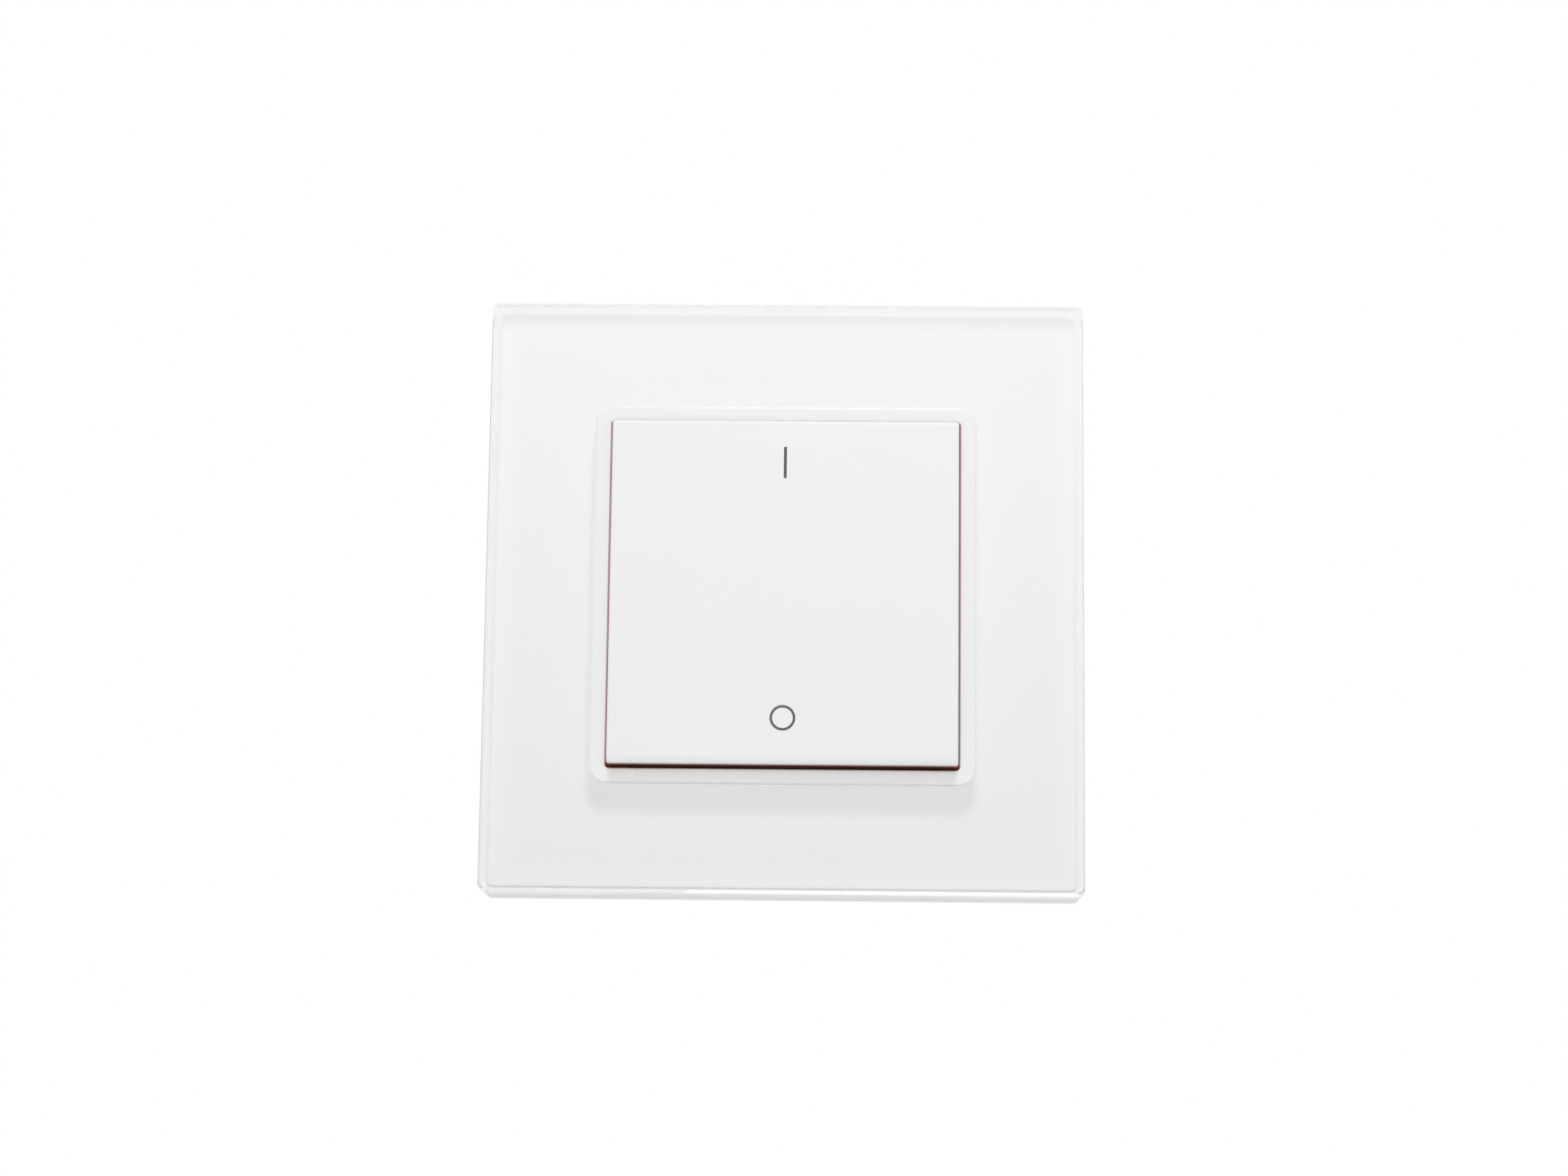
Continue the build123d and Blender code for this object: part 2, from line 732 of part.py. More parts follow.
# Rocker cap: hollow square cap, well rounded at the ends that are pressed and crisp at its sides,
# with ribs behind its face, a stud over each dome and two snap lugs that clip over the housing's pins
with BuildPart() as rocker_cap:
    with BuildSketch(at_depth(skirt_back)):
        Rectangle(rocker_size, rocker_size)
    extrude(amount=rocker_face - skirt_back)
    fillet(rocker_cap.faces().sort_by(Axis.Y)[0].edges().filter_by(Axis.X), rocker_edge_r)
    rocker_sides = rocker_cap.faces().sort_by(Axis.X)
    for side in (rocker_sides[0], rocker_sides[-1]):
        fillet(side.edges().sort_by(Axis.Y)[:-1], rocker_corner_r)
    with BuildSketch(at_depth(skirt_back)):
        RectangleRounded(skirt_inner, skirt_inner, rocker_inner_r)
    extrude(amount=rocker_inside - skirt_back, mode=Mode.SUBTRACT)
    with BuildSketch(at_depth(rocker_inside - rocker_rib_height)):
        with GridLocations(rocker_rib_offset, 0, 5, 1):
            Rectangle(rocker_rib_width, skirt_inner)
        with GridLocations(0, rocker_rib_offset, 1, 5):
            Rectangle(skirt_inner, rocker_rib_width)
    extrude(amount=rocker_rib_height)
    stud_back = dome_face + stud_gap
    with BuildSketch(at_depth(stud_back)):
        with GridLocations(0, 2 * switch_z, 1, 2):
            Circle(stud_r)
    extrude(amount=rocker_inside - stud_back)
    with BuildSketch(Plane.YZ.offset(lug_inner_x)):
        with Locations((-pivot_depth, 0)):
            Circle(lug_r)
            Rectangle(rocker_inside - pivot_depth, 2 * lug_r, align=(Align.MAX, Align.CENTER))
            Circle(pin_r + pin_play, mode=Mode.SUBTRACT)
            Rectangle(lug_r + overrun, lug_mouth, align=(Align.MIN, Align.CENTER), mode=Mode.SUBTRACT)
    lug = extrude(amount=skirt_inner / 2 - lug_inner_x)
    mirror(lug, about=Plane.YZ)
save(rocker_cap, "rocker_cap")

# Learn button: pairing key with a flange behind the housing's face, resting on its plunger
with BuildPart() as learn_button:
    with BuildSketch(at_depth(plunger_face)):
        with Locations((learn_x, 0)):
            Circle(button_flange_r)
    extrude(amount=button_flange_height)
    with BuildSketch(at_depth(button_flange_face)):
        with Locations((learn_x, 0)):
            Circle(button_r)
    extrude(amount=module_face + button_proud - button_flange_face)
    fillet(learn_button.faces().sort_by(Axis.Y)[0].edges(), button_edge_r)
save(learn_button, "learn_button")

# Status light: a small lamp on the board and a clear guide in the housing's face
with BuildPart() as status_led:
    with BuildSketch(at_depth(board_front)):
        with Locations((light_x, 0)):
            Rectangle(led_width, led_height)
    extrude(amount=led_thickness)
    chamfer(status_led.faces().sort_by(Axis.Y)[0].edges(), led_edge)
save(status_led, "status_led")

with BuildPart() as light_guide:
    guide_back = board_front + led_thickness + guide_led_gap
    with BuildSketch(at_depth(guide_back)):
        with Locations((light_x, 0)):
            Circle(guide_r)
    extrude(amount=module_face + guide_proud - guide_back)
    fillet(light_guide.faces().sort_by(Axis.Y)[0].edges(), guide_edge_r)
    with BuildSketch(at_depth(module_inside - guide_flange_height)):
        with Locations((light_x, 0)):
            Circle(guide_flange_r)
    extrude(amount=guide_flange_height)
save(light_guide, "light_guide")

# Radio chip: flat square package with a corner dimple
with BuildPart() as radio_chip:
    chip_back = board_back - chip_thickness
    with BuildSketch(at_depth(chip_back)):
        with Locations((chip_x, chip_z)):
            Rectangle(chip_size, chip_size)
    extrude(amount=chip_thickness)
    chamfer(radio_chip.faces().sort_by(Axis.Y)[-1].edges(), chip_edge)
    dot_offset = chip_size / 2 - chip_dot_inset
    with BuildSketch(at_depth(chip_back)):
        with Locations((chip_x + dot_offset, chip_z + dot_offset)):
            Circle(chip_dot_r)
    extrude(amount=chip_dot_depth, mode=Mode.SUBTRACT)
save(radio_chip, "radio_chip")

# Crystal: metal can beside the chip
with BuildPart() as crystal:
    with BuildSketch(at_depth(board_back - crystal_thickness)):
        with Locations((chip_x, crystal_z)):
            RectangleRounded(crystal_width, crystal_height, crystal_edge_r)
    extrude(amount=crystal_thickness)
save(crystal, "crystal")

# Tank capacitor: moulded block that carries the radio's current peaks
with BuildPart() as tank_capacitor:
    with BuildSketch(at_depth(board_back - tank_thickness)):
        with Locations((chip_x, tank_z)):
            Rectangle(tank_width, tank_height)
    extrude(amount=tank_thickness)
    chamfer(tank_capacitor.faces().sort_by(Axis.Y)[-1].edges(), tank_edge)
save(tank_capacitor, "tank_capacitor")

# Antenna: quarter-wave wire on three sides of the battery bay, soldered to the board at both ends
with BuildPart() as antenna_wire:
    wire_y = antenna_lift - board_back
    with BuildLine() as antenna_route:
        FilletPolyline(
            (-antenna_half, -board_back, antenna_end_z),
            (-antenna_half, wire_y, antenna_end_z),
            (-antenna_half, wire_y, antenna_half),
            (antenna_half, wire_y, antenna_half),
            (antenna_half, wire_y, antenna_end_z),
            (antenna_half, -board_back, antenna_end_z),
            radius=[antenna_bend_r, antenna_corner_r, antenna_corner_r, antenna_bend_r],
        )
    with BuildSketch(Plane(origin=(-antenna_half, -board_back, antenna_end_z), z_dir=(0, 1, 0))):
        Circle(antenna_r)
    sweep(path=antenna_route.line)
save(antenna_wire, "antenna_wire")

# Coin cell: its can faces the wall and its smaller cap faces the board
with BuildPart() as coin_cell:
    with BuildSketch(Plane.XY):
        with BuildLine():
            Polyline(
                (0, -cell_back),
                (cell_r, -cell_back),
                (cell_r, 2 * cell_cap_step - cell_front),
                (cell_cap_r, cell_cap_step - cell_front),
                (cell_cap_r, -cell_front),
                (0, -cell_front),
                close=True,
            )
        make_face()
    revolve(axis=Axis.Y)
    fillet(coin_cell.faces().sort_by(Axis.Y)[-1].edges(), cell_edge_r)
save(coin_cell, "coin_cell")

# Positive contact: sheet strip soldered beside the bay, standing against the can's side
with BuildPart() as positive_contact:
    strip_x = cell_r + contact_touch_gap + contact_strip / 2
    foot_y = contact_strip / 2 - board_back
    with BuildSketch(Plane.XY.offset(-contact_width / 2)):
        with BuildLine() as strip_line:
            Polyline((strip_x + contact_foot, foot_y), (strip_x, foot_y), (strip_x, foot_y + contact_rise))
        trace(line_width=contact_strip)
    extrude(amount=contact_width)
save(positive_contact, "positive_contact")

# Negative contact: leaf spring on the board, its raised tongue under the cell's cap
with BuildPart() as negative_contact:
    tongue_y = -cell_front - contact_touch_gap - contact_strip / 2
    with BuildSketch(Plane.XY.offset(-contact_width / 2)):
        with BuildLine() as leaf_line:
            Polyline(
                (-contact_foot, foot_y), (0, foot_y), (contact_foot, tongue_y), (contact_tongue, tongue_y)
            )
        trace(line_width=contact_strip)
    extrude(amount=contact_width)
save(negative_contact, "negative_contact")
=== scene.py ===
from math import atan2, cos, pi, radians, sin

import bmesh
import bpy
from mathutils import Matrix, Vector


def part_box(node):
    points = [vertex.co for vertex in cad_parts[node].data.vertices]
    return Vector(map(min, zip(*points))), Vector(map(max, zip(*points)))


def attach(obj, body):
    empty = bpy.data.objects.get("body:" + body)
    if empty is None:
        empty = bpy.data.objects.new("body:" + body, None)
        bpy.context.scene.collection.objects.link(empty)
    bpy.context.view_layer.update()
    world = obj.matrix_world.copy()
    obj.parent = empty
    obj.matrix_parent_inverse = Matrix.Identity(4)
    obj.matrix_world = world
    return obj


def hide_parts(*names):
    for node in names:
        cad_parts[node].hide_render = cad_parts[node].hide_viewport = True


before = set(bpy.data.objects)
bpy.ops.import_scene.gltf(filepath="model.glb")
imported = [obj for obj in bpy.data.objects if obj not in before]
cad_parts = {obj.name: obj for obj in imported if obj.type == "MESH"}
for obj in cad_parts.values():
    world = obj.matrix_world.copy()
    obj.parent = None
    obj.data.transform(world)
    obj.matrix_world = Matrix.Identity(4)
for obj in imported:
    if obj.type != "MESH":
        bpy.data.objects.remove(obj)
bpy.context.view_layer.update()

# Wall plate: flat plate of light ABS against the wall, with snap posts and screw places. It is
# moulded in a spark-eroded tool, so its finish is dull, with a fine even grain. The plate is the
# first piece with a finish, so what builds the finishes of all the pieces is defined here.
MM = 0.001
CLOUD_SIZE = 15 * MM
GLOSS_PATCH = 2 * MM
GLOSS_SPREAD = 0.1


class Shade:
    """A shader socket that takes part in sums and comparisons: each adds its Math node."""

    def __init__(self, tree, socket):
        self.tree = tree
        self.socket = socket

    def node(self, kind, settings=None, values=None, output=0):
        """Adds a node, gives it its settings, then its socket values and links, and returns one output."""
        made = self.tree.nodes.new(kind)
        for name, value in (settings or {}).items():
            if name == "stops":
                ramp = made.color_ramp
                while len(ramp.elements) < len(value):
                    ramp.elements.new(1.0)
                for stop, (place, colour) in zip(ramp.elements, value):
                    stop.position = place
                    stop.color = colour
            else:
                setattr(made, name, value)
        for name, value in (values or {}).items():
            if isinstance(value, Shade):
                self.tree.links.new(value.socket, made.inputs[name])
            else:
                made.inputs[name].default_value = value
        return Shade(self.tree, made.outputs[output])

    def other(self, output):
        """Another output of the same node."""
        return Shade(self.tree, self.socket.node.outputs[output])

    def math(self, operation, other=0.0, swapped=False):
        """A Math node on this value and another, in this order unless they are swapped."""
        first, second = (other, self) if swapped else (self, other)
        return self.node("ShaderNodeMath", {"operation": operation}, {0: first, 1: second})

    def __add__(self, other):
        return self.math("ADD", other)

    __radd__ = __add__

    def __sub__(self, other):
        return self.math("SUBTRACT", other)

    def __rsub__(self, other):
        return self.math("SUBTRACT", other, swapped=True)

    def __mul__(self, other):
        return self.math("MULTIPLY", other)

    __rmul__ = __mul__

    def __lt__(self, other):
        return self.math("LESS_THAN", other)

    def __gt__(self, other):
        return self.math("GREATER_THAN", other)

    def __abs__(self):
        return self.math("ABSOLUTE")

    def larger(self, other):
        """The larger of this value and another."""
        return self.math("MAXIMUM", other)

    def rise(self, low, high):
        """Goes smoothly from 0 to 1 as this value goes from low to high."""
        return self.node(
            "ShaderNodeMapRange",
            {"interpolation_type": "SMOOTHSTEP"},
            {"Value": self, "From Min": low, "From Max": high},
        )

    def colour(self, low, high):
        """A colour from low to high as this value goes from 0 to 1."""
        return self.node(
            "ShaderNodeMix", {"data_type": "RGBA"}, {"Factor": self, "A": low, "B": high}, output=2
        )


def grey(level, warmth=0.0):
    """A near-neutral colour, warmer above 0 and cooler below."""
    return (level + warmth, level, level - warmth, 1.0)


def new_finish(name, constants):
    """A material with these constants on its Principled surface, and its object coordinates."""
    material = bpy.data.materials.new(name)
    material.use_nodes = True
    tree = material.node_tree
    surface = tree.nodes["Principled BSDF"]
    for socket, value in constants.items():
        surface.inputs[socket].default_value = value
    return material, surface, Shade(tree, None).node("ShaderNodeTexCoord", output="Object")


def feed(surface, socket, value):
    """Links a shade to a socket of the surface, or of another node."""
    value.tree.links.new(value.socket, surface.inputs[socket])


def grain(place, size, detail=2.0):
    """Soft noise from 0 to 1 whose features have about this size in metres."""
    return place.node(
        "ShaderNodeTexNoise", None, {"Vector": place, "Scale": 1.0 / size, "Detail": detail}
    )


def raise_surface(surface, height, depth):
    """Bumps the surface by a height from 0 to 1 times a depth in metres."""
    feed(surface, "Normal", height.node("ShaderNodeBump", None, {"Height": height, "Distance": depth}))


def moulded_plastic(name, light, dark, roughness, grain_size, grain_depth):
    """Injection-moulded plastic: faint clouds, slightly uneven gloss and the grain of its tool."""
    material, surface, place = new_finish(name, {})
    feed(surface, "Base Color", grain(place, CLOUD_SIZE, detail=3.0).colour(dark, light))
    feed(surface, "Roughness", grain(place, GLOSS_PATCH) * GLOSS_SPREAD + (roughness - GLOSS_SPREAD / 2))
    raise_surface(surface, grain(place, grain_size, detail=1.0), grain_depth)
    return material


def dress(node, material):
    """Gives a CAD node a finish."""
    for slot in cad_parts[node].material_slots:
        slot.material = material


wall_plate_plastic = moulded_plastic(
    "wall_plate_plastic",
    light=grey(0.78, 0.004),
    dark=grey(0.74, 0.004),
    roughness=0.5,
    grain_size=0.25 * MM,
    grain_depth=0.02 * MM,
)
dress("wall_plate", wall_plate_plastic)

# Adhesive pads: four pads of white closed-cell foam, die-cut and pressed into the recesses in
# the back of the wall plate. The cut cells show as fine pits.
FOAM_CELL = 0.35 * MM
FOAM_PIT = 0.06 * MM
FOAM_ROUGHNESS = 0.95
FOAM_SHEEN = 0.1
pad_foam, pad_surface, pad_place = new_finish("pad_foam", {})
foam_cells = pad_place.node(
    "ShaderNodeTexVoronoi", {"feature": "DISTANCE_TO_EDGE"}, {"Vector": pad_place, "Scale": 1 / FOAM_CELL}
)
feed(pad_surface, "Base Color", foam_cells.colour(grey(0.86), grey(0.68, 0.01)))
feed(pad_surface, "Roughness", FOAM_ROUGHNESS - foam_cells * FOAM_SHEEN)
raise_surface(pad_surface, 1 - foam_cells, FOAM_PIT)
dress("adhesive_pads", pad_foam)

# Module cover and housing: two shells of dark brown polycarbonate, clamped round the board. The
# grain of their tool is coarser than the wall plate's.
module_plastic = moulded_plastic(
    "module_plastic",
    light=(0.090, 0.045, 0.028, 1),
    dark=(0.070, 0.034, 0.021, 1),
    roughness=0.5,
    grain_size=0.3 * MM,
    grain_depth=0.03 * MM,
)
dress("module_cover", module_plastic)
dress("module_housing", module_plastic)

# Coin cell: pressed can of nickel-plated steel, pushed into the cover's bay from the back. Its
# flat face keeps the faint rings and hair scratches of the pressing and of handling.
PRESS_RING_PITCH = 3 * MM
SCRATCH_WIDTH = 0.15 * MM
SCRATCH_STRETCH = (0.08, 1, 1)
SCRATCH_TURN = (0, 0.6, 0)
CAN_RELIEF = 0.008 * MM
CAN_ROUGHNESS = 0.2
PRESS_RING_ROUGHNESS = 0.06
SCRATCH_ROUGHNESS = 0.12
cell_steel, cell_surface, cell_place = new_finish("cell_steel", {"Metallic": 1.0})
press_rings = cell_place.node(
    "ShaderNodeTexWave",
    {"wave_type": "RINGS", "rings_direction": "Y"},
    {"Vector": cell_place, "Scale": 1 / PRESS_RING_PITCH, "Distortion": 0.6, "Detail": 2.0},
)
along_scratches = cell_place.node(
    "ShaderNodeMapping", None, {"Vector": cell_place, "Rotation": SCRATCH_TURN, "Scale": SCRATCH_STRETCH}
)
scratches = grain(along_scratches, SCRATCH_WIDTH, detail=3.0)
feed(cell_surface, "Base Color", scratches.colour(grey(0.58, 0.004), grey(0.72, 0.004)))
can_wear = press_rings * PRESS_RING_ROUGHNESS + scratches * SCRATCH_ROUGHNESS
feed(cell_surface, "Roughness", can_wear + CAN_ROUGHNESS)
raise_surface(cell_surface, press_rings * 0.5 + scratches * 0.5, CAN_RELIEF)
dress("coin_cell", cell_steel)

# Cover screws, contacts, antenna and crystal: small parts of plated or bare metal, stamped, bent
# or turned. Each is bright with a thin uneven tarnish.
TARNISH_PATCH = 1.2 * MM
TARNISH_SPREAD = 0.2
TARNISH_LEVEL = 0.8
TOOL_MARK_SIZE = 0.2 * MM
TOOL_MARK_DEPTH = 0.004 * MM


def small_metal(name, colour, roughness):
    """Bright metal with a thin uneven tarnish."""
    material, surface, place = new_finish(name, {"Metallic": 1.0})
    tarnish = grain(place, TARNISH_PATCH, detail=4.0)
    dull = tuple(TARNISH_LEVEL * part for part in colour) + (1,)
    feed(surface, "Base Color", tarnish.colour(dull, colour + (1,)))
    feed(surface, "Roughness", tarnish * TARNISH_SPREAD + (roughness - TARNISH_SPREAD / 2))
    raise_surface(surface, grain(place, TOOL_MARK_SIZE), TOOL_MARK_DEPTH)
    return material


dress("cover_screws", small_metal("zinc_steel", (0.66, 0.67, 0.69), 0.3))
dress("crystal", small_metal("can_nickel", (0.72, 0.71, 0.67), 0.25))
dress("antenna_wire", small_metal("tinned_copper", (0.78, 0.72, 0.64), 0.3))
spring_bronze = small_metal("spring_bronze", (0.74, 0.56, 0.34), 0.28)
dress("positive_contact", spring_bronze)
dress("negative_contact", spring_bronze)

# Circuit board: glass-filled resin under green solder mask. Copper tracks lie below the mask as
# paler lines, which stand a little proud.
TRACK_CELL = 3.9 * MM
TRACK_WIDTH_SHARE = 0.05
TRACK_HEIGHT = 0.03 * MM
MASK_GREEN = (0.012, 0.11, 0.05, 1)
TRACK_GREEN = (0.03, 0.20, 0.09, 1)
board_resin, board_surface, board_place = new_finish("board_resin", {"Roughness": 0.3})
between_cells = board_place.node(
    "ShaderNodeTexVoronoi",
    {"feature": "DISTANCE_TO_EDGE"},
    {"Vector": board_place, "Scale": 1 / TRACK_CELL, "Randomness": 0.6},
)
tracks = between_cells < TRACK_WIDTH_SHARE
feed(board_surface, "Base Color", tracks.colour(MASK_GREEN, TRACK_GREEN))
raise_surface(board_surface, tracks, TRACK_HEIGHT)
dress("circuit_board", board_resin)

# Parts on the board and under the rocker: moulded switches with amber plungers, resin packages,
# a milky silicone mat, a grey learn button, and a lamp with its clear acrylic guide. Each has a
# finish with its nodes, its lighter and darker colour and its roughness.
SWITCH_BODIES = ("upper_switch_body", "lower_switch_body", "learn_switch_body")
SWITCH_PLUNGERS = ("upper_switch_plunger", "lower_switch_plunger", "learn_switch_plunger")
for finish_name, members, light, dark, roughness in (
    ("switch_plastic", SWITCH_BODIES, grey(0.05), grey(0.035), 0.4),
    ("plunger_plastic", SWITCH_PLUNGERS, (0.52, 0.25, 0.09, 1), (0.46, 0.21, 0.07, 1), 0.35),
    ("silicone", ("silicone_mat",), grey(0.68, -0.006), grey(0.62, -0.006), 0.55),
    ("button_plastic", ("learn_button",), grey(0.58), grey(0.54), 0.4),
    ("led_resin", ("status_led",), (0.85, 0.82, 0.62, 1), (0.80, 0.76, 0.55, 1), 0.2),
    ("guide_acrylic", ("light_guide",), grey(0.88, -0.01), grey(0.84, -0.01), 0.12),
    ("chip_resin", ("radio_chip",), grey(0.035), grey(0.027), 0.5),
    ("tank_resin", ("tank_capacitor",), (0.72, 0.45, 0.08, 1), (0.66, 0.40, 0.06, 1), 0.35),
):
    small_part_finish = moulded_plastic(
        finish_name, light, dark, roughness, grain_size=0.2 * MM, grain_depth=0.01 * MM
    )
    for node in members:
        dress(node, small_part_finish)

# Carrier frame: tray of white ABS behind the glass, snapped over the wall plate. Its satin edge
# shows below the glass's edge, and its face through the clear border of the glass.
carrier_plastic = moulded_plastic(
    "carrier_plastic",
    light=grey(0.88, 0.003),
    dark=grey(0.86, 0.003),
    roughness=0.42,
    grain_size=0.2 * MM,
    grain_depth=0.01 * MM,
)
dress("carrier_frame", carrier_plastic)

# Glass tape: double-sided tape of white acrylic foam, cut as a square that ends just behind the
# enamel's edge, and pressed between carrier and glass. It has no open cells.
GLASS_LOW, GLASS_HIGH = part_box("glass_plate")
GLASS_HALF = GLASS_HIGH.x
TAPE_LOW, TAPE_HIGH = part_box("glass_tape")
TAPE_INSET = 1.15 * MM
TAPE_HALF = GLASS_HALF - TAPE_INSET
TAPE_CORNER = 0.8 * MM
TAPE_INNER_HALF = 31.5 * MM
TAPE_INNER_CORNER = 1.0 * MM
CORNER_STEPS = 8
SHARP_ANGLE = radians(25)


def square_loop(half, corner, y):
    """Points of a square with round corners about the switch's axis, at one depth."""
    points = []
    for quarter in range(4):
        centre_x = (half - corner) * (1 if quarter in (0, 3) else -1)
        centre_z = (half - corner) * (1 if quarter in (0, 1) else -1)
        for step in range(CORNER_STEPS + 1):
            turn = (quarter + step / CORNER_STEPS) * pi / 2
            points.append((centre_x + corner * cos(turn), y, centre_z + corner * sin(turn)))
    return points


def bridge(form, near, far):
    """The ring of faces from one closed row of points to the next."""
    faces = []
    for i in range(len(near)):
        j = (i + 1) % len(near)
        faces.append(form.faces.new((near[i], near[j], far[j], far[i])))
    return faces


def new_mesh(name, form):
    """Turns a form into a mesh whose faces all look outwards."""
    bmesh.ops.recalc_face_normals(form, faces=form.faces)
    mesh = bpy.data.meshes.new(name)
    form.to_mesh(mesh)
    form.free()
    return mesh


def new_piece(name, mesh, *materials):
    """Shows a mesh in these materials."""
    for material in materials:
        mesh.materials.append(material)
    piece = bpy.data.objects.new(name, mesh)
    bpy.context.collection.objects.link(piece)
    return piece


def loft(name, loops, *materials, second=None):
    """A skin from each loop to the next and back to the first, one band of it in a second material."""
    form = bmesh.new()
    rows = [[form.verts.new(point) for point in points] for points in loops]
    for band, (near, far) in enumerate(zip(rows, rows[1:] + rows[:1])):
        for face in bridge(form, near, far):
            face.smooth = True
            face.material_index = int(band == second)
    mesh = new_mesh(name, form)
    mesh.set_sharp_from_angle(angle=SHARP_ANGLE)
    return new_piece(name, mesh, *materials)


tape_foam = moulded_plastic(
    "tape_foam",
    light=grey(0.86),
    dark=grey(0.84),
    roughness=0.7,
    grain_size=0.4 * MM,
    grain_depth=0.01 * MM,
)
glass_tape = loft(
    "glass_tape_square",
    [
        square_loop(TAPE_HALF, TAPE_CORNER, TAPE_HIGH.y),
        square_loop(TAPE_HALF, TAPE_CORNER, TAPE_LOW.y),
        square_loop(TAPE_INNER_HALF, TAPE_INNER_CORNER, TAPE_LOW.y),
        square_loop(TAPE_INNER_HALF, TAPE_INNER_CORNER, TAPE_HIGH.y),
    ],
    tape_foam,
)
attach(glass_tape, "base")
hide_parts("glass_tape")

# Back coat: white enamel, screen-printed on the back of the glass and fired. It ends short of the
# glass's polished edge. Its colour carries painted light in place of light that wanders between it
# and the glass: a painted glow from its emission, rising towards the top, a painted lighter band
# near the edge, a painted shade line along its rim and a painted shade along the upper edge.
ENAMEL_LOW, ENAMEL_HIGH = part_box("glass_back_coat")
ENAMEL_HALF = ENAMEL_HIGH.x
ENAMEL_CORNER = 1.0 * MM
OPENING_HALF = 27.53 * MM
OPENING_CORNER = 2.53 * MM
LAMPLIT_SHARE = 0.65
PAINTED_GLOW_LEVEL = 0.353
PAINTED_GLOW_SLOPE = 0.04
PAINTED_EDGE_GLOW = 4.0 * MM
PAINTED_RIM_SHADE = 0.45 * MM
PAINTED_UPPER_SHADE = 3.0 * MM
ENAMEL_CLOUD = 30 * MM
ENAMEL_GRAIN = 0.6 * MM
ENAMEL_GRAIN_DEPTH = 0.004 * MM
white_enamel, enamel_surface, enamel_place = new_finish(
    "white_enamel", {"Roughness": 0.5, "Emission Strength": 1.0}
)
enamel_x = enamel_place.node("ShaderNodeSeparateXYZ", None, {"Vector": enamel_place})
enamel_z = enamel_x.other("Z")
from_rim = ENAMEL_HALF - abs(enamel_x).larger(abs(enamel_z))
film = grain(enamel_place, ENAMEL_CLOUD).colour(grey(0.815), grey(0.825))
# painted light: a lighter band near the edge, a shade line at the rim, a shade along the top
film = from_rim.rise(0.0, PAINTED_EDGE_GLOW).colour(grey(0.85), film)
film = from_rim.rise(0.0, PAINTED_RIM_SHADE).colour(grey(0.81), film)
film = enamel_z.rise(ENAMEL_HALF - PAINTED_UPPER_SHADE, ENAMEL_HALF).colour(film, grey(0.74))
# painted glow: part of the film's colour is emitted, a little more towards the top
painted_glow = enamel_z * (PAINTED_GLOW_SLOPE / ENAMEL_HALF) + PAINTED_GLOW_LEVEL
for socket, share in (("Base Color", LAMPLIT_SHARE), ("Emission Color", painted_glow)):
    part_of_film = film.node("ShaderNodeVectorMath", {"operation": "SCALE"}, {0: film, "Scale": share})
    feed(enamel_surface, socket, part_of_film)
raise_surface(enamel_surface, grain(enamel_place, ENAMEL_GRAIN), ENAMEL_GRAIN_DEPTH)
enamel_film = loft(
    "enamel_film",
    [
        square_loop(ENAMEL_HALF, ENAMEL_CORNER, ENAMEL_HIGH.y),
        square_loop(ENAMEL_HALF, ENAMEL_CORNER, ENAMEL_LOW.y),
        square_loop(OPENING_HALF, OPENING_CORNER, ENAMEL_LOW.y),
        square_loop(OPENING_HALF, OPENING_CORNER, ENAMEL_HIGH.y),
    ],
    white_enamel,
)
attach(enamel_film, "base")
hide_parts("glass_back_coat")

# Glass plate: 4 mm clear float glass with a square opening, ground and polished to a fine bevel
# round its front edge. It lies a hair's breadth in front of the enamel. For the enamel's rays the
# wall of its opening shows a painted glow of the room's light, in place of the light that polished
# glass throws back from inside.
GLASS_FACE_Y = GLASS_LOW.y
ENAMEL_GAP = 0.02 * MM
GLASS_BACK_Y = GLASS_HIGH.y - ENAMEL_GAP
GLASS_CORNER = 1.0 * MM
GLASS_BEVEL = 0.5 * MM
GLASS_ARRIS = 0.3 * MM
OPENING_ARRIS = 0.1 * MM
OPENING_WALL_BAND = 4
CAUGHT_TURNS = 2
PAINTED_WALL_GLOW = 0.92
POLISH_PATCH = 5 * MM
POLISH_ROUGHNESS = 0.01


def float_glass(name, paints_wall_glow):
    """Clear glass that lamplight passes, and that lets the enamel's light pass or shows it a painted glow.
    """
    material, surface, place = new_finish(
        name, {"Transmission Weight": 1.0, "IOR": 1.5, "Base Color": grey(1.0)}
    )
    feed(surface, "Roughness", grain(place, POLISH_PATCH, detail=4.0) * POLISH_ROUGHNESS)
    lamplight = place.node("ShaderNodeLightPath", output="Is Shadow Ray")
    from_enamel = lamplight.other("Is Diffuse Ray")
    # light caught in the glass goes straight out after a few turns, else it would end as black
    passed = lamplight.larger(lamplight.other("Glossy Depth") > CAUGHT_TURNS)
    if not paints_wall_glow:
        passed = passed.larger(from_enamel)
    clear = Shade(place.tree, surface.outputs[0])
    through = place.node("ShaderNodeBsdfTransparent")
    seen = place.node("ShaderNodeMixShader", None, {0: passed, 1: clear, 2: through})
    if paints_wall_glow:
        # painted glow: for the enamel's rays the wall emits the room's light in place of its reflection
        painted_room_glow = place.node("ShaderNodeEmission", None, {"Color": grey(PAINTED_WALL_GLOW)})
        seen = place.node("ShaderNodeMixShader", None, {0: from_enamel, 1: seen, 2: painted_room_glow})
    feed(place.tree.nodes["Material Output"], "Surface", seen)
    return material


